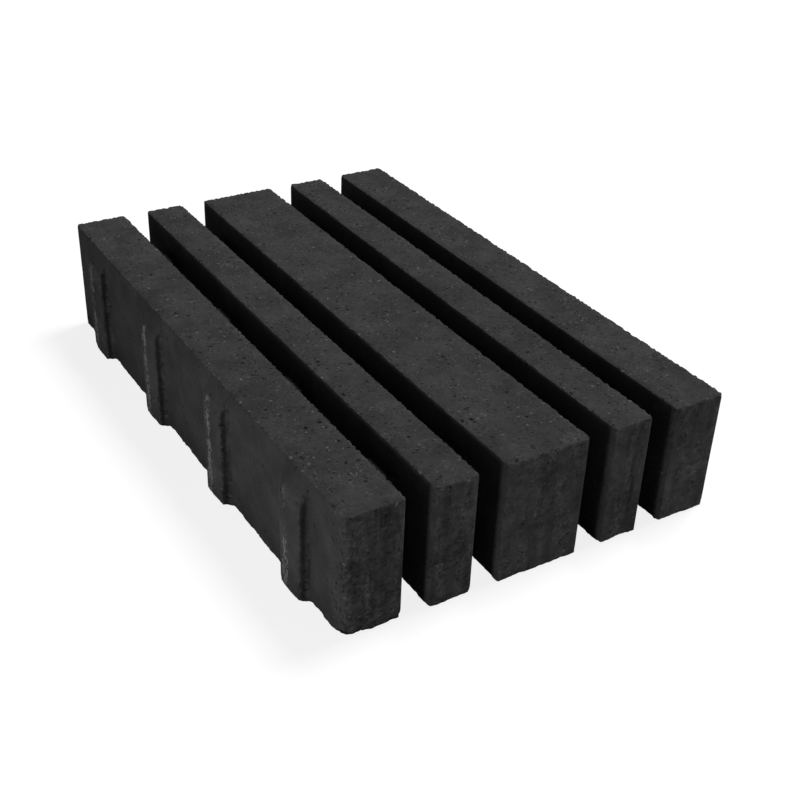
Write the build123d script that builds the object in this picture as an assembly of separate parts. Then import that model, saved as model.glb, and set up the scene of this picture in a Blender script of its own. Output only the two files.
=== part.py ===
import os
from build123d import *

# Grass paver: five parallel concrete bars of three widths, joined by low cross webs.
# The webs break through both long sides as spacer nibs. One casting, one solid.
# X runs along the bars, Y across them, Z up. The origin is the middle of the underside.

# Bars and the slots between them
length = 600.0           # bars, along X
height = 120.0           # underside to wearing face
outer_bar = 55.0         # width of the first and last bar
inner_bar = 42.5         # width of the second and fourth bar
centre_bar = 85.0        # width of the middle bar
slot = 25.0              # clear width between bars
end_corner = 5.0         # radius of the upright corners at the bar ends
top_arris = 1.0          # rounded edge around the wearing face of each bar

# Cross webs
web_rows = 4             # rows of webs, evenly spaced along the bars
web_width = 32.0         # along X
web_drop = 22.5          # web top below the wearing face
web_fillet = 6.0         # upright fillet where a web meets a bar

# Spacer nibs on both long sides, in line with the webs. Their crests end level with the webs
nib_reach = 10.0         # proud of the side face
nib_crest = 32.0         # crest width, along X
nib_flank = 6.0          # how far each flank spreads from crest to root
nib_top_rise = 20.0      # rise of the nib's top from the crest to the side face
nib_root_fillet = 4.5    # hollow where a flank meets the side face
nib_crest_round = 3.0    # upright edges of the crest

# The most of its wall that a round, or a nib's top, may take up
round_share = 0.45
rise_share = 0.95

# Derived places
bar_widths = [outer_bar, inner_bar, centre_bar, inner_bar, outer_bar]
body_width = sum(bar_widths) + slot * (len(bar_widths) - 1)
web_top = height - web_drop
row_pitch = length / web_rows
row_centres = [-length / 2 + row_pitch * (row + 0.5) for row in range(web_rows)]
straight_half = length / 2 - end_corner          # where the end corners start
nib_wall = min(nib_reach, nib_crest / 2)         # what the nib's rounds have to fit in
nib_room = (web_drop - top_arris) * rise_share   # side face that the nib's top may take up
nib_top = web_top + min(nib_top_rise, nib_room)
same_place = 0.01                                # two points this near are one


def bar_centres():
    centres = []
    edge = -body_width / 2
    for width in bar_widths:
        centres.append(edge + width / 2)
        edge += width + slot
    return centres


def bar_plan():
    plan = Sketch()
    for centre, width in zip(bar_centres(), bar_widths):
        corner = min(end_corner, width * round_share)
        plan += Pos(0, centre) * RectangleRounded(length, width, corner)
    return plan


def nib_plan(row_centre, side):
    root = side * body_width / 2
    crest = side * (body_width / 2 + nib_reach)
    half_crest = nib_crest / 2
    half_root = half_crest + nib_flank
    outline = Polyline(
        (row_centre - half_root, root),
        (row_centre - half_crest, crest),
        (row_centre + half_crest, crest),
        (row_centre + half_root, root),
        close=True,
    )
    return make_face(outline)


def web_plan(row_centre):
    # one strip from outer bar to outer bar, buried in the bars that it crosses
    return Pos(row_centre, 0) * Rectangle(web_width, body_width - outer_bar)


def is_between_corners(vertex):
    return abs(vertex.X) < straight_half - same_place


def is_web_root(vertex):
    return is_between_corners(vertex) and abs(vertex.Y) < body_width / 2 - outer_bar / 2


def is_nib_root(vertex):
    return is_between_corners(vertex) and abs(abs(vertex.Y) - body_width / 2) < same_place


def is_nib_crest(vertex):
    return abs(vertex.Y) > body_width / 2 + nib_reach / 2


def webbed_plan():
    plan = bar_plan()
    for row_centre in row_centres:
        plan += web_plan(row_centre)
    return fillet(plan.vertices().filter_by(is_web_root), min(web_fillet, slot * round_share))


def nibbed_plan():
    plan = bar_plan()
    for row_centre in row_centres:
        plan += nib_plan(row_centre, 1)
        plan += nib_plan(row_centre, -1)
    plan = fillet(plan.vertices().filter_by(is_nib_root), min(nib_root_fillet, nib_wall * round_share))
    return fillet(plan.vertices().filter_by(is_nib_crest), min(nib_crest_round, nib_wall * round_share))


def nib_top_cut(side):
    # wedge above the sloping nib tops, along the whole side
    root = side * body_width / 2
    crest = side * (body_width / 2 + nib_reach)
    outline = Polyline(
        (root, nib_top),
        (crest, web_top),
        (crest, nib_top),
        close=True,
    )
    return extrude(Plane.YZ * make_face(outline), length / 2, both=True)


def paver():
    nibbed = extrude(nibbed_plan(), nib_top)
    for side in (1, -1):
        nibbed -= nib_top_cut(side)
    body = extrude(bar_plan(), height) + extrude(webbed_plan(), web_top) + nibbed
    wearing_edges = body.faces().filter_by(Plane.XY).group_by(Axis.Z)[-1].edges()
    return fillet(wearing_edges, min(top_arris, web_drop * round_share))


os.makedirs("parts", exist_ok=True)
export_step(paver(), "parts/paver.step")
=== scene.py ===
import math
import bpy
import bmesh
from mathutils import Matrix, Vector


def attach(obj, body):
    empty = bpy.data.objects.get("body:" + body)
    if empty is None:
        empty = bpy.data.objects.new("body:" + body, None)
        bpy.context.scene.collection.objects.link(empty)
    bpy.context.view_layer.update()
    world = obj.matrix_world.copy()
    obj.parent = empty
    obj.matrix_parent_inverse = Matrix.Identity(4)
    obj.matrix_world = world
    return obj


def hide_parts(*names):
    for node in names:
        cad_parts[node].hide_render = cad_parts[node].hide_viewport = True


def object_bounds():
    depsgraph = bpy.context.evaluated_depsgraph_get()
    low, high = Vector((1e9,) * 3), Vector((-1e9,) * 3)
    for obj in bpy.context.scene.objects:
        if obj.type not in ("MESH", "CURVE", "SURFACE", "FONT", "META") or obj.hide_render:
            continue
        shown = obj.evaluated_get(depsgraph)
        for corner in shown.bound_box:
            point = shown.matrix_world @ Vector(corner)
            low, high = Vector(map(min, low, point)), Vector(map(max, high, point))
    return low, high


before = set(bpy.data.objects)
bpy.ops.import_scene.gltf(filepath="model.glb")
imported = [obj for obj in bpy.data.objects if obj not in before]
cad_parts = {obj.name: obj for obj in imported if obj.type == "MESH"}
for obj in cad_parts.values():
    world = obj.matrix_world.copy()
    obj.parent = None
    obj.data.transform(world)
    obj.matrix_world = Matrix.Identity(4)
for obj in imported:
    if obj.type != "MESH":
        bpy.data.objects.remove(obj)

scene = bpy.context.scene
scene.view_settings.view_transform = "Standard"
mm = 0.001                                  # scene units are metres
cadLow, cadHigh = [Vector(corner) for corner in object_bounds()]
print("frame: CAD box", [round(v, 4) for v in (*cadLow, *cadHigh)])


# camera, fitted to the outline of the paver in the photograph
photoCamera = dict(
    place=(0.9416, -0.5530, 0.6794),
    aim=(0.0931, -0.0151, 0.0600),
    roll=2.343,                             # degrees about the line of sight
    lens=56.22,
    sensor=36.0,
)


def aimed(place, aim):                      # for a camera or a lamp
    look = Vector(aim) - Vector(place)
    turn = look.to_track_quat("-Z", "Y").to_matrix().to_4x4()
    return Matrix.Translation(place) @ turn


def makeCamera(c):
    data = bpy.data.cameras.new("photoCamera")
    data.lens = c["lens"]
    data.sensor_width = c["sensor"]
    cam = bpy.data.objects.new("photoCamera", data)
    scene.collection.objects.link(cam)
    roll = Matrix.Rotation(math.radians(c["roll"]), 4, "Z")
    cam.matrix_world = aimed(c["place"], c["aim"]) @ roll
    scene.camera = cam


makeCamera(photoCamera)
print("camera: set")


# node helpers, for shader trees and geometry trees alike

def addNode(tree, kind, inputs=None, **settings):
    node = tree.nodes.new(kind)
    for name, value in settings.items():
        setattr(node, name, value)
    for key, value in (inputs or {}).items():
        if isinstance(value, bpy.types.NodeSocket):
            tree.links.new(value, node.inputs[key])
        else:
            node.inputs[key].default_value = value
    return node


def calc(tree, operation, *values, clamp=False):
    node = addNode(tree, "ShaderNodeMath", dict(enumerate(values)), operation=operation)
    node.use_clamp = clamp
    return node.outputs[0]


def times(tree, *values):
    result = values[0]
    for value in values[1:]:
        result = calc(tree, "MULTIPLY", result, value)
    return result


def size(tree, value):                      # without its sign
    return calc(tree, "ABSOLUTE", value)


def ramp(tree, value, low, high, atLow=0.0, atHigh=1.0):   # smooth step from low to high
    node = addNode(tree, "ShaderNodeMapRange", {0: value, 1: low, 2: high, 3: atLow, 4: atHigh},
                   interpolation_type="SMOOTHSTEP")
    return node.outputs[0]


def vectorCalc(tree, operation, a, b):
    return addNode(tree, "ShaderNodeVectorMath", {0: a, 1: b}, operation=operation).outputs[0]


def vectorScale(tree, vector, factor):
    return addNode(tree, "ShaderNodeVectorMath", {0: vector, "Scale": factor}, operation="SCALE").outputs[0]


def axes(tree, vector):
    return addNode(tree, "ShaderNodeSeparateXYZ", {0: vector}).outputs


# floor, world and lights
studio = dict(
    floorSize=40.0,
    floorShade=0.24,        # what the floor throws back at the paver
    floorWhite=0.84,        # part of the floor that stays white in the picture
    floorShadow=0.20,       # part that takes the shadow
    ambient=0.006,
    lamps=[
        # name, place, aim, width, height, watts
        ("highBack", (-0.6, 3.4, 7.0), (0.0, 0.0, 0.1), 2.4, 2.4, 600.0),
        ("softLeft", (0.3, -2.6, 1.25), (0.0, 0.0, 0.1), 2.4, 2.0, 5.5),
        ("lowLeft", (0.16, -0.66, 0.12), (0.14, -0.19, 0.07), 0.4, 0.20, 0.42),
        ("frontLeft", (0.50, -0.95, 0.13), (0.30, -0.05, 0.06), 0.16, 0.20, 2.9),
        ("lowFront", (1.50, 0.95, 0.15), (0.30, 0.00, 0.06), 0.9, 0.30, 9.2),
        ("lowBack", (-1.60, 0.60, 0.15), (-0.30, 0.00, 0.06), 0.9, 0.30, 8.0),
    ],
)


def raySeen(tree):                          # camera, glossy and transmission rays
    path = addNode(tree, "ShaderNodeLightPath").outputs
    mirrored = calc(tree, "MAXIMUM", path["Is Glossy Ray"], path["Is Transmission Ray"])
    return calc(tree, "MAXIMUM", path["Is Camera Ray"], mirrored)


def grey(level):
    return [level] * 3 + [1]


def makeFloor(s):
    half = s["floorSize"] / 2
    mesh = bpy.data.meshes.new("floor")
    corners = [(-half, -half, 0), (half, -half, 0), (half, half, 0), (-half, half, 0)]
    mesh.from_pydata(corners, [], [(0, 1, 2, 3)])
    floor = bpy.data.objects.new("floor", mesh)
    scene.collection.objects.link(floor)
    paint = bpy.data.materials.new("paleFloor")
    paint.use_nodes = True
    tree = paint.node_tree
    tree.nodes.clear()
    glow = addNode(tree, "ShaderNodeEmission", {"Strength": s["floorWhite"]}).outputs[0]
    shaded = addNode(tree, "ShaderNodeBsdfDiffuse", {"Color": grey(s["floorShadow"])}).outputs[0]
    shown = addNode(tree, "ShaderNodeAddShader", {0: glow, 1: shaded}).outputs[0]
    bounce = addNode(tree, "ShaderNodeBsdfDiffuse", {"Color": grey(s["floorShade"])}).outputs[0]
    mixed = addNode(tree, "ShaderNodeMixShader", {0: raySeen(tree), 1: bounce, 2: shown}).outputs[0]
    addNode(tree, "ShaderNodeOutputMaterial", {"Surface": mixed})
    mesh.materials.append(paint)


def makeWorld(s):
    world = bpy.data.worlds.new("studioWorld")
    world.use_nodes = True
    scene.world = world
    tree = world.node_tree
    tree.nodes.clear()
    air = addNode(tree, "ShaderNodeBackground", {"Color": grey(1), "Strength": s["ambient"]}).outputs[0]
    white = addNode(tree, "ShaderNodeBackground", {"Color": grey(1), "Strength": 1.0}).outputs[0]
    mixed = addNode(tree, "ShaderNodeMixShader", {0: raySeen(tree), 1: air, 2: white}).outputs[0]
    addNode(tree, "ShaderNodeOutputWorld", {"Surface": mixed})


def makeLamps(s):
    for name, place, aim, width, height, watts in s["lamps"]:
        data = bpy.data.lights.new(name, "AREA")
        data.shape = "RECTANGLE"
        data.size = width
        data.size_y = height
        data.energy = watts
        lamp = bpy.data.objects.new(name, data)
        scene.collection.objects.link(lamp)
        lamp.matrix_world = aimed(place, aim)
        lamp.visible_camera = False


makeFloor(studio)
makeWorld(studio)
makeLamps(studio)
print("studio: floor, world and", len(studio["lamps"]), "lamps")


# anthracite concrete, coloured right through
concrete = dict(
    dark=(0.034, 0.034, 0.034, 1),
    pale=(0.051, 0.051, 0.051, 1),
    blotch=26 * mm,         # soft patches of tone
    mottle=6 * mm,
    grain=2.5 * mm,
    clusters=24 * mm,       # pores and specks gather in patches this size
    closedSkin=0.14,        # what shows of them on closed skin
    crust=(262 * mm, 296 * mm),             # the long sides roughen towards the ends
    trainSize=12 * mm,      # upright trains of open skin on the bar ends
    roughEnd=(-128 * mm, -142 * mm),        # the first bar has the roughest end
    poreGap=4.4 * mm,       # fine dark pores
    poreSize=1.15 * mm,
    poreShare=0.75,
    poreColour=(0.008, 0.008, 0.008, 1),
    lonePits=0.72,          # on the long sides only pits with a draw above this show
    dustGap=4.0 * mm,       # fine light sand
    dustSize=1.15 * mm,
    dustShare=0.6,
    speckGap=8.5 * mm,      # larger light grains in the skin
    speckSize=1.5 * mm,
    speckShare=0.6,
    speckColour=(0.14, 0.14, 0.138, 1),
    dragSize=9 * mm,        # marks of the mould on the bar ends
    scarSize=7 * mm,
    limeSize=18 * mm,
    limeSpots=[
        # middle, half size along X, Y and Z in mm, strength
        ((300, -168, 42), (6, 5, 24), 0.45),
        ((300, -186, 66), (8, 6, 8), 0.35),
        ((300, -160, 14), (6, 12, 9), 0.35),
        ((300, -90, 98), (6, 7, 9), 0.35),
        ((272, -111, 118), (9, 4, 6), 0.40),
        ((292, 26, 120), (9, 12, 4), 0.35),
    ],
    # painted contact shade with some dirt, darker towards the floor on the outer long sides
    footShadeSide=(188.0 * mm, 189.0 * mm),      # the outer faces of the long sides, from the middle plane
    footShadeHeight=32 * mm,
    footShadeTone=0.32,
    edgeWear=0.22,
    # colour of the painted shade at the nib roots, and of the painted contact shade with dirt at the foot
    shadeAndDirtColour=(0.010, 0.010, 0.010, 1),
    roughness=(0.84, 0.96),
    gloss=0.012,            # next to no mirror reflection
    bump=0.6 * mm,
    bumpStrength=0.7,
)
pits = dict(gap=7.5 * mm, size=1.9 * mm, share=0.6, depth=1.1 * mm)   # cut in the mesh, dark inside
torn = dict(size=3.2 * mm, shift=5.5 * mm)  # ragged outlines of pits, pores and specks
leastSpot = 0.4             # the smallest spot, as a share of the stated size
spotCore = 0.4              # full strength within this share of a spot

# marks on the spacer nibs, which stand on the long sides in line with the webs
nibMarks = dict(
    rowPitch=150 * mm,
    crestHalf=16 * mm,      # half a crest, along X
    crestTop=97.5 * mm,
    side=(188.0 * mm, 189.5 * mm),          # from the middle plane out to the side face
    crest=(196.5 * mm, 198.5 * mm),         # and to the crests
    rootLine=2.2 * mm,      # painted shade, beside the crest and as wide
    rootShadeTone=0.8,
    rubLine=9.5 * mm,       # pale rubbed speckles along one edge of the crest
    rubGrain=2.2 * mm,
    rubPatch=14 * mm,
    rubFadeUp=(10 * mm, 70 * mm),           # they thin out up the nib
    rubFadeAlong=(100 * mm, 200 * mm),      # and on the nib nearest the bar ends
    rubColour=(0.15, 0.15, 0.147, 1),
)


def noise(tree, place, blotchSize, detail, seed):     # blotch size, not a frequency
    node = addNode(tree, "ShaderNodeTexNoise", {"Vector": place, "W": seed, "Detail": detail},
                   noise_dimensions="4D")
    node.inputs["Scale"].default_value = 1.0 / blotchSize
    return node.outputs[0]


def uprightNoise(tree, place, blotchSize, flatten, detail, seed):     # drawn out along Z
    return noise(tree, vectorCalc(tree, "MULTIPLY", place, (1, 1, flatten)), blotchSize, detail, seed)


def mixColour(tree, factor, a, b, blend="MIX"):
    node = addNode(tree, "ShaderNodeMix", {0: factor, 6: a, 7: b}, data_type="RGBA", blend_type=blend)
    return node.outputs[2]


def fromRow(tree, x, pitch):                # signed distance along X from the nearest row of webs
    half = pitch / 2
    return calc(tree, "WRAP", calc(tree, "ADD", x, half), half, -half)


def tear(tree, place, tearSize, shift):     # moves points about, so that spots get ragged outlines
    scale = 1.0 / tearSize if isinstance(tearSize, float) else calc(tree, "DIVIDE", 1.0, tearSize)
    push = addNode(tree, "ShaderNodeTexNoise", {"Vector": place, "Scale": scale, "Detail": 3.0})
    push = vectorCalc(tree, "SUBTRACT", push.outputs["Color"], (0.5, 0.5, 0.5))
    return vectorCalc(tree, "ADD", place, vectorScale(tree, push, shift))


def cellSpots(tree, place, gap, spotSize, share, seed):     # spots on a share of random cells, and a draw
    moved = vectorCalc(tree, "ADD", place, (seed, seed, seed))
    cells = addNode(tree, "ShaderNodeTexVoronoi", {"Vector": moved, "Scale": 1.0 / gap})
    pick = axes(tree, cells.outputs["Color"])
    chosen = calc(tree, "LESS_THAN", pick[0], share)
    radius = calc(tree, "MULTIPLY_ADD", pick[1], spotSize / gap, leastSpot * spotSize / gap)
    inner = calc(tree, "MULTIPLY", radius, spotCore)
    spot = addNode(tree, "ShaderNodeMapRange", {0: cells.outputs["Distance"], 1: radius, 2: inner})
    return calc(tree, "MULTIPLY", spot.outputs[0], chosen), pick[2]


def makeConcrete(c, nib):
    skin = bpy.data.materials.new("anthraciteConcrete")
    skin.use_nodes = True
    tree = skin.node_tree
    tree.nodes.clear()
    coords = addNode(tree, "ShaderNodeTexCoord").outputs
    place = coords["Object"]
    x, y, z = axes(tree, place)
    nx, ny, nz = axes(tree, coords["Normal"])
    topFace = ramp(tree, nz, 0.45, 0.75)
    endFace = ramp(tree, size(tree, nx), 0.5, 0.85)
    sideFace = ramp(tree, size(tree, ny), 0.5, 0.85)

    def onSides(elsewhere, there):          # one value on the long sides, another elsewhere
        return ramp(tree, sideFace, 0.0, 1.0, elsewhere, there)

    # cement skin: soft blotches, mottling and sand grain
    blotch = noise(tree, place, c["blotch"], detail=4.0, seed=1.0)
    colour = mixColour(tree, ramp(tree, blotch, 0.28, 0.72), c["dark"], c["pale"])
    mottle = noise(tree, place, c["mottle"], detail=3.0, seed=2.0)
    mottled = ramp(tree, mottle, 0.25, 0.75, atLow=0.88, atHigh=1.12)
    colour = mixColour(tree, onSides(1.0, 0.5), colour, mottled, "MULTIPLY")
    grain = noise(tree, place, c["grain"], detail=3.0, seed=3.0)

    # how open the skin is: most on the wearing face, in trains on the ends, least on the long sides
    ragged = tear(tree, place, torn["size"], torn["shift"])
    cluster = noise(tree, place, c["clusters"], detail=3.0, seed=9.0)
    cluster = ramp(tree, cluster, 0.42, 0.56, atLow=0.28)
    openness = calc(tree, "MULTIPLY_ADD", topFace, cluster, c["closedSkin"])
    corner = ramp(tree, size(tree, x), *c["crust"], atHigh=0.8)
    openness = calc(tree, "ADD", openness, times(tree, sideFace, cluster, corner))
    train = uprightNoise(tree, place, c["trainSize"], flatten=0.2, detail=2.0, seed=8.0)
    train = ramp(tree, train, 0.42, 0.58, atLow=0.15)
    train = calc(tree, "ADD", train, ramp(tree, y, *c["roughEnd"], atHigh=0.5), clamp=True)
    train = times(tree, endFace, train)
    openness = calc(tree, "ADD", train, openness, clamp=True)
    sandy = ramp(tree, grain, 0.3, 0.7, atLow=0.80, atHigh=1.20)
    colour = mixColour(tree, openness, colour, sandy, "MULTIPLY")
    uneven = ramp(tree, mottle, 0.36, 0.64, atLow=0.83, atHigh=1.19)
    colour = mixColour(tree, train, colour, uneven, "MULTIPLY")

    # pores, pits and sand grains
    pore = cellSpots(tree, ragged, c["poreGap"], c["poreSize"], c["poreShare"], seed=3.7)[0]
    pore = times(tree, pore, openness)
    colour = mixColour(tree, times(tree, pore, 0.9), colour, c["poreColour"])
    pit, pitDraw = cellSpots(tree, ragged, pits["gap"], pits["size"], pits["share"], seed=0.0)
    lone = times(tree, sideFace, calc(tree, "GREATER_THAN", pitDraw, c["lonePits"]), 0.7)
    pit = times(tree, pit, calc(tree, "MAXIMUM", openness, lone))
    colour = mixColour(tree, pit, colour, c["poreColour"])
    dust, dustTone = cellSpots(tree, ragged, c["dustGap"], c["dustSize"], c["dustShare"], seed=8.3)
    dust = times(tree, dust, openness, onSides(0.8, 0.3))
    colour = mixColour(tree, times(tree, dust, dustTone), colour, c["speckColour"])
    speck, speckTone = cellSpots(tree, ragged, c["speckGap"], c["speckSize"], c["speckShare"], seed=5.1)
    speck = times(tree, speck, openness, speckTone)
    speck = times(tree, speck, ramp(tree, endFace, 0.0, 1.0, atLow=1.0, atHigh=0.75))
    colour = mixColour(tree, speck, colour, c["speckColour"])

    # drag marks of the mould and pale lime patches on the bar ends
    drag = uprightNoise(tree, place, c["dragSize"], flatten=0.10, detail=3.0, seed=4.0)
    dragTone = ramp(tree, drag, 0.3, 0.7, atLow=0.80, atHigh=1.16)
    streaked = mixColour(tree, 1.0, colour, dragTone, "MULTIPLY")
    colour = mixColour(tree, endFace, colour, streaked)
    scar = uprightNoise(tree, place, c["scarSize"], flatten=0.14, detail=2.0, seed=12.0)
    scar = times(tree, ramp(tree, scar, 0.62, 0.70), endFace, 0.5)
    colour = mixColour(tree, scar, colour, c["poreColour"])
    lime = uprightNoise(tree, place, c["limeSize"], flatten=0.4, detail=6.0, seed=7.0)
    flaky = ramp(tree, grain, 0.35, 0.65)
    lime = times(tree, ramp(tree, lime, 0.54, 0.74), endFace, flaky, 0.2)
    for middle, half, strength in c["limeSpots"]:
        offset = vectorCalc(tree, "SUBTRACT", ragged, [v * mm for v in middle])
        offset = vectorCalc(tree, "MULTIPLY", offset, [1 / (v * mm) for v in half])
        far = addNode(tree, "ShaderNodeVectorMath", {0: offset}, operation="LENGTH").outputs["Value"]
        spot = ramp(tree, far, 1.1, 0.2, atHigh=strength)
        spot = times(tree, spot, ramp(tree, mottle, 0.35, 0.6), flaky)
        lime = calc(tree, "MAXIMUM", lime, spot)
    colour = mixColour(tree, lime, colour, c["speckColour"])

    # nibs: painted shade along the roots, pale rubbed speckles along one edge of the crest
    along = fromRow(tree, x, nib["rowPitch"])
    outward = size(tree, y)
    fromRoot = calc(tree, "SUBTRACT", size(tree, along), nib["crestHalf"] + nib["rootLine"])
    below = ramp(tree, z, nib["crestTop"] + 7 * mm, nib["crestTop"] - 1 * mm)
    sideOnly = ramp(tree, outward, *nib["side"])
    # painted shade: a dark line in the concave root beside each crest, where shadow falls
    rootShade = times(tree, ramp(tree, size(tree, fromRoot), nib["rootLine"], 0.0), below, sideOnly)
    colour = mixColour(tree, times(tree, rootShade, nib["rootShadeTone"]), colour, c["shadeAndDirtColour"])
    crest = ramp(tree, outward, *nib["crest"])
    crestTone = times(tree, crest, ramp(tree, blotch, 0.3, 0.7, atLow=0.03, atHigh=0.09))
    colour = mixColour(tree, crestTone, colour, nib["rubColour"])
    fromEdge = size(tree, calc(tree, "ADD", along, nib["crestHalf"] - nib["rubLine"]))
    rub = uprightNoise(tree, place, nib["rubGrain"], flatten=0.6, detail=3.0, seed=6.0)
    rub = calc(tree, "ADD", rub, ramp(tree, fromEdge, nib["rubLine"], 0.0, atHigh=0.25))
    patch = noise(tree, place, nib["rubPatch"], detail=2.0, seed=5.0)
    rub = calc(tree, "MULTIPLY_ADD", patch, 0.3, rub)
    fading = ramp(tree, x, *nib["rubFadeAlong"], atLow=0.06, atHigh=0.16)
    fading = times(tree, ramp(tree, z, *nib["rubFadeUp"]), fading)
    rub = ramp(tree, calc(tree, "SUBTRACT", rub, fading), 0.74, 0.92)
    colour = mixColour(tree, times(tree, rub, crest), colour, nib["rubColour"])

    # painted contact shade with some dirt, darker towards the foot of the long sides
    # painted shade near the floor, partly dirt: darkens the long sides towards the bottom
    footShadeAndDirt = ramp(tree, z, c["footShadeHeight"], 0.0, atHigh=c["footShadeTone"])
    footShadeAndDirt = times(tree, sideFace, ramp(tree, outward, *c["footShadeSide"]), footShadeAndDirt)
    colour = mixColour(tree, footShadeAndDirt, colour, c["shadeAndDirtColour"])

    # pale wear on proud edges
    proud = addNode(tree, "ShaderNodeNewGeometry").outputs["Pointiness"]
    wear = times(tree, ramp(tree, proud, 0.54, 0.64), ramp(tree, mottle, 0.45, 0.65))
    colour = mixColour(tree, times(tree, wear, c["edgeWear"]), colour, c["speckColour"])

    # fine relief
    relief = calc(tree, "MULTIPLY_ADD", mottle, 0.6, times(tree, grain, openness))
    relief = times(tree, relief, onSides(1.0, 0.4))
    relief = calc(tree, "MULTIPLY_ADD", pore, -1.5, relief)
    relief = calc(tree, "MULTIPLY_ADD", dust, 0.6, relief)
    relief = calc(tree, "MULTIPLY_ADD", speck, 0.9, relief)
    bump = addNode(tree, "ShaderNodeBump",
                   {"Height": relief, "Distance": c["bump"], "Strength": c["bumpStrength"]})
    dull = ramp(tree, mottle, 0.3, 0.7, *c["roughness"])
    shader = addNode(tree, "ShaderNodeBsdfPrincipled",
                     {"Base Color": colour, "Roughness": dull, "Normal": bump.outputs[0]})
    shader.inputs["Specular IOR Level"].default_value = c["gloss"]
    addNode(tree, "ShaderNodeOutputMaterial", {"Surface": shader.outputs[0]})
    return skin


concreteSkin = makeConcrete(concrete, nibMarks)
print("concrete: material ready")


# the casting: the CAD shape with crumbled arrises, pits and drag marks
casting = dict(
    weld=1e-6,              # joins the loose triangles of the copy
    voxel=1.3 * mm,
    quickVoxel=2.6 * mm,
    triangles=190000,
    seed=11.0,
    smoothAngle=40.0,       # degrees, shaded smooth below this
    arrisAngle=25.0,        # degrees, sharper edges than this crumble
    arrisReach=4.0 * mm,
    arrisBite=1.6 * mm,
    crumbSize=4.0 * mm,
    footReach=12.0 * mm,    # the foot of the block is more knocked about
    footBite=1.0 * mm,
    footSize=16.0 * mm,
    dragSize=6.0 * mm,
    dragDepth=0.4 * mm,
    waveSize=55.0 * mm,
    waveDepth=0.45 * mm,
    knocks=[
        # place in mm, reach in mm, depth in mm
        ((300, -190, 0), 20, 3.5),
        ((300, -152, 0), 16, 2.4),
        ((300, -138, 0), 10, 0.8),
        ((300, -172, 0), 10, 1.2),
        ((239, -199, 98), 6, 1.8),
        ((84, -199, 99), 5, 1.6),
    ],
)
levelNormal = 0.999         # upward part of the normal on a level top


def solidCopy(weld):
    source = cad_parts["paver"]
    bm = bmesh.new()
    bm.from_mesh(source.data)
    bmesh.ops.remove_doubles(bm, verts=bm.verts, dist=weld)
    return bm


def isArris(edge, angle):                   # a sharp edge, or the rim of a level top
    bend = edge.calc_face_angle_signed(0)
    level = [face.normal.z > levelNormal for face in edge.link_faces]
    isRim = any(level) and not all(level) and bend > 0
    return bend > angle or isRim


def arrisObject(bm, angle):                 # the arrises alone, as a wire mesh
    bm.normal_update()
    sharp = [edge for edge in bm.edges if isArris(edge, angle)]
    points = {v: i for i, v in enumerate({v: None for e in sharp for v in e.verts})}
    mesh = bpy.data.meshes.new("arrisLines")
    mesh.from_pydata([v.co for v in points], [[points[v] for v in e.verts] for e in sharp], [])
    lines = bpy.data.objects.new("arrisLines", mesh)
    scene.collection.objects.link(lines)
    return lines


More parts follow.
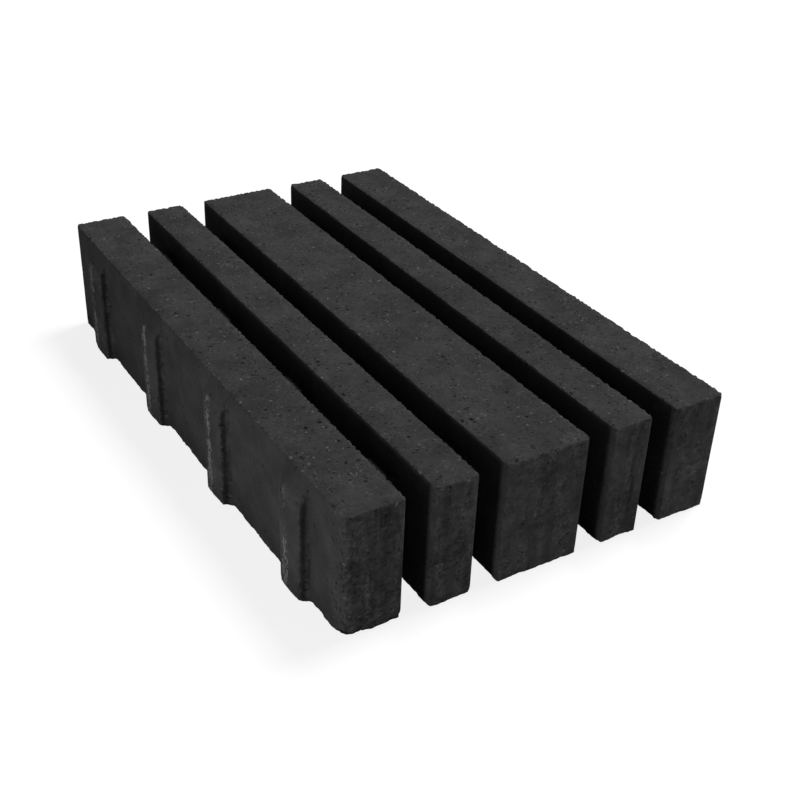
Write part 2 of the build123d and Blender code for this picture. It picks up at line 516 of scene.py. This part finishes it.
def castSkinTree(knocks, sidePlane):
    tree = bpy.data.node_groups.new("castSkin", "GeometryNodeTree")
    face = tree.interface
    face.new_socket("Geometry", in_out="INPUT", socket_type="NodeSocketGeometry")
    face.new_socket("Arris lines", in_out="INPUT", socket_type="NodeSocketObject")
    face.new_socket("Skin", in_out="INPUT", socket_type="NodeSocketMaterial")
    for name in ("Low corner", "High corner"):
        face.new_socket(name, in_out="INPUT", socket_type="NodeSocketVector")
    numbers = ("Seed", "Arris reach", "Arris bite", "Crumb size", "Foot reach", "Foot bite", "Foot size",
               "Pit gap", "Pit size", "Pit depth", "Pit share", "Torn size", "Torn shift", "Drag size",
               "Drag depth", "Wave size", "Wave depth")
    for name in numbers:
        face.new_socket(name, in_out="INPUT", socket_type="NodeSocketFloat")
    face.new_socket("Geometry", in_out="OUTPUT", socket_type="NodeSocketGeometry")
    given = addNode(tree, "NodeGroupInput").outputs
    place = addNode(tree, "GeometryNodeInputPosition").outputs[0]
    normal = addNode(tree, "GeometryNodeInputNormal").outputs[0]
    y, z = axes(tree, place)[1:]
    facing = axes(tree, normal)

    def sized(vector, blotchSize, detail, seed):
        node = addNode(tree, "ShaderNodeTexNoise", {"Vector": vector, "Detail": detail},
                       noise_dimensions="4D")
        tree.links.new(calc(tree, "DIVIDE", 1.0, blotchSize), node.inputs["Scale"])
        tree.links.new(calc(tree, "ADD", given["Seed"], seed), node.inputs["W"])
        return node.outputs[0]

    # how near a sharp edge is, and how near the floor
    lines = addNode(tree, "GeometryNodeObjectInfo", {0: given["Arris lines"]}).outputs["Geometry"]
    away = addNode(tree, "GeometryNodeProximity", {0: lines}, target_element="EDGES").outputs["Distance"]
    foot = ramp(tree, z, given["Foot reach"], 0.0)
    wider = times(tree, given["Arris reach"], 2.0)
    reach = calc(tree, "MULTIPLY_ADD", foot, wider, given["Arris reach"])
    near = ramp(tree, away, reach, 0.0)

    # crumbled arrises, with larger bites at the foot
    crumb = sized(place, given["Crumb size"], detail=4.0, seed=0.0)
    crumble = times(tree, ramp(tree, crumb, 0.38, 0.70), given["Arris bite"])
    crumble = times(tree, crumble, ramp(tree, foot, 0.0, 1.0, atLow=1.0, atHigh=0.2))
    lump = sized(place, given["Foot size"], detail=2.0, seed=3.0)
    bite = times(tree, ramp(tree, lump, 0.40, 0.70), given["Foot bite"])
    crumble = calc(tree, "MULTIPLY_ADD", bite, foot, crumble)
    crumble = times(tree, crumble, near)
    for centre, wide, deep in knocks:
        far = addNode(tree, "ShaderNodeVectorMath", {0: place, 1: [v * mm for v in centre]},
                      operation="DISTANCE").outputs["Value"]
        hit = ramp(tree, far, wide * mm, wide * mm * 0.3, atHigh=deep * mm)
        uneven = ramp(tree, lump, 0.3, 0.7, atLow=0.4, atHigh=1.2)
        crumble = calc(tree, "MULTIPLY_ADD", hit, uneven, crumble)

    # pits on the wearing faces, the ends and the outer long sides, under the dark spots of the material
    ragged = tear(tree, place, given["Torn size"], given["Torn shift"])
    cells = addNode(tree, "ShaderNodeTexVoronoi", {"Vector": ragged})
    tree.links.new(calc(tree, "DIVIDE", 1.0, given["Pit gap"]), cells.inputs["Scale"])
    pick = axes(tree, cells.outputs["Color"])
    radius = calc(tree, "DIVIDE", given["Pit size"], given["Pit gap"])
    radius = times(tree, radius, calc(tree, "ADD", pick[1], leastSpot))
    pit = ramp(tree, cells.outputs["Distance"], radius, 0.0)
    pit = times(tree, pit, calc(tree, "LESS_THAN", pick[0], given["Pit share"]))
    pit = times(tree, pit, given["Pit depth"])
    isSide = calc(tree, "GREATER_THAN", size(tree, y), sidePlane)
    isEnd = calc(tree, "GREATER_THAN", size(tree, facing[0]), 0.8)
    isTop = calc(tree, "GREATER_THAN", facing[2], 0.5)
    pit = times(tree, pit, calc(tree, "MAXIMUM", calc(tree, "MAXIMUM", isSide, isEnd), isTop))

    # drag marks on the ends, gentle waves everywhere but below
    drag = vectorCalc(tree, "MULTIPLY", place, (1, 1, 0.07))
    drag = sized(drag, given["Drag size"], detail=2.0, seed=7.0)
    groove = times(tree, ramp(tree, drag, 0.5, 0.75), given["Drag depth"], isEnd)
    wave = sized(place, given["Wave size"], detail=1.0, seed=9.0)
    notBelow = calc(tree, "GREATER_THAN", facing[2], -0.5)
    wave = times(tree, wave, given["Wave depth"], notBelow)

    # all of it cut inwards, and held within the CAD box
    depth = calc(tree, "ADD", calc(tree, "ADD", crumble, pit), calc(tree, "ADD", groove, wave))
    inward = vectorScale(tree, normal, times(tree, depth, -1.0))
    worn = addNode(tree, "GeometryNodeSetPosition", {0: given["Geometry"], "Offset": inward}).outputs[0]
    after = addNode(tree, "GeometryNodeInputPosition").outputs[0]
    kept = vectorCalc(tree, "MAXIMUM", after, given["Low corner"])
    kept = vectorCalc(tree, "MINIMUM", kept, given["High corner"])
    boxed = addNode(tree, "GeometryNodeSetPosition", {0: worn, "Position": kept}).outputs[0]
    real = addNode(tree, "GeometryNodeRealizeInstances", {0: boxed}).outputs[0]
    skinned = addNode(tree, "GeometryNodeSetMaterial", {0: real, "Material": given["Skin"]}).outputs[0]
    addNode(tree, "NodeGroupOutput", {0: skinned})
    return tree


def setInputs(modifier, values):            # by socket identifier
    sockets = modifier.node_group.interface.items_tree
    names = {s.name: s.identifier for s in sockets if s.in_out == "INPUT"}
    for name, value in values.items():
        modifier[names[name]] = value


def plainMesh(obj, name):                   # what the modifiers make, as a mesh of its own
    bpy.context.view_layer.update()
    graph = bpy.context.evaluated_depsgraph_get()
    mesh = bpy.data.meshes.new_from_object(obj.evaluated_get(graph))
    mesh.name = name
    return mesh


def makeCasting(c):
    bm = solidCopy(c["weld"])
    lines = arrisObject(bm, math.radians(c["arrisAngle"]))
    blank = bpy.data.meshes.new("castingBlank")
    bm.to_mesh(blank)
    bm.free()
    piece = bpy.data.objects.new("paver_casting", blank)
    scene.collection.objects.link(piece)
    remesh = piece.modifiers.new("even", "REMESH")
    remesh.mode = "VOXEL"
    remesh.voxel_size = c["voxel"]
    skin = piece.modifiers.new("castSkin", "NODES")
    skin.node_group = castSkinTree(c["knocks"], nibMarks["side"][1])
    setInputs(skin, {
        "Arris lines": lines, "Skin": concreteSkin, "Low corner": cadLow, "High corner": cadHigh,
        "Seed": c["seed"], "Arris reach": c["arrisReach"], "Arris bite": c["arrisBite"],
        "Crumb size": c["crumbSize"], "Foot reach": c["footReach"], "Foot bite": c["footBite"],
        "Foot size": c["footSize"], "Pit gap": pits["gap"], "Pit size": pits["size"],
        "Pit depth": pits["depth"], "Pit share": pits["share"], "Torn size": torn["size"],
        "Torn shift": torn["shift"], "Drag size": c["dragSize"], "Drag depth": c["dragDepth"],
        "Wave size": c["waveSize"], "Wave depth": c["waveDepth"],
    })
    rough = plainMesh(piece, "castingRough")
    rough.calc_loop_triangles()
    print("casting: skin made,", len(rough.loop_triangles), "triangles")

    # thin the flat stretches, keep the broken edges
    piece.modifiers.clear()
    piece.data = rough
    thin = piece.modifiers.new("thin", "DECIMATE")
    thin.ratio = min(1.0, c["triangles"] / len(rough.loop_triangles))
    final = plainMesh(piece, "paver_casting")
    piece.modifiers.clear()
    piece.data = final
    bpy.data.objects.remove(lines)
    for vertex in final.vertices:           # thinning may move a point out of the box
        vertex.co = [min(max(v, low), high) for v, low, high in zip(vertex.co, cadLow, cadHigh)]
    final.shade_smooth()
    final.set_sharp_from_angle(angle=math.radians(c["smoothAngle"]))
    final.calc_loop_triangles()
    print("casting: thinned to", len(final.loop_triangles), "triangles")
    return piece


paverCasting = makeCasting(casting)
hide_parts("paver")
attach(paverCasting, "root")
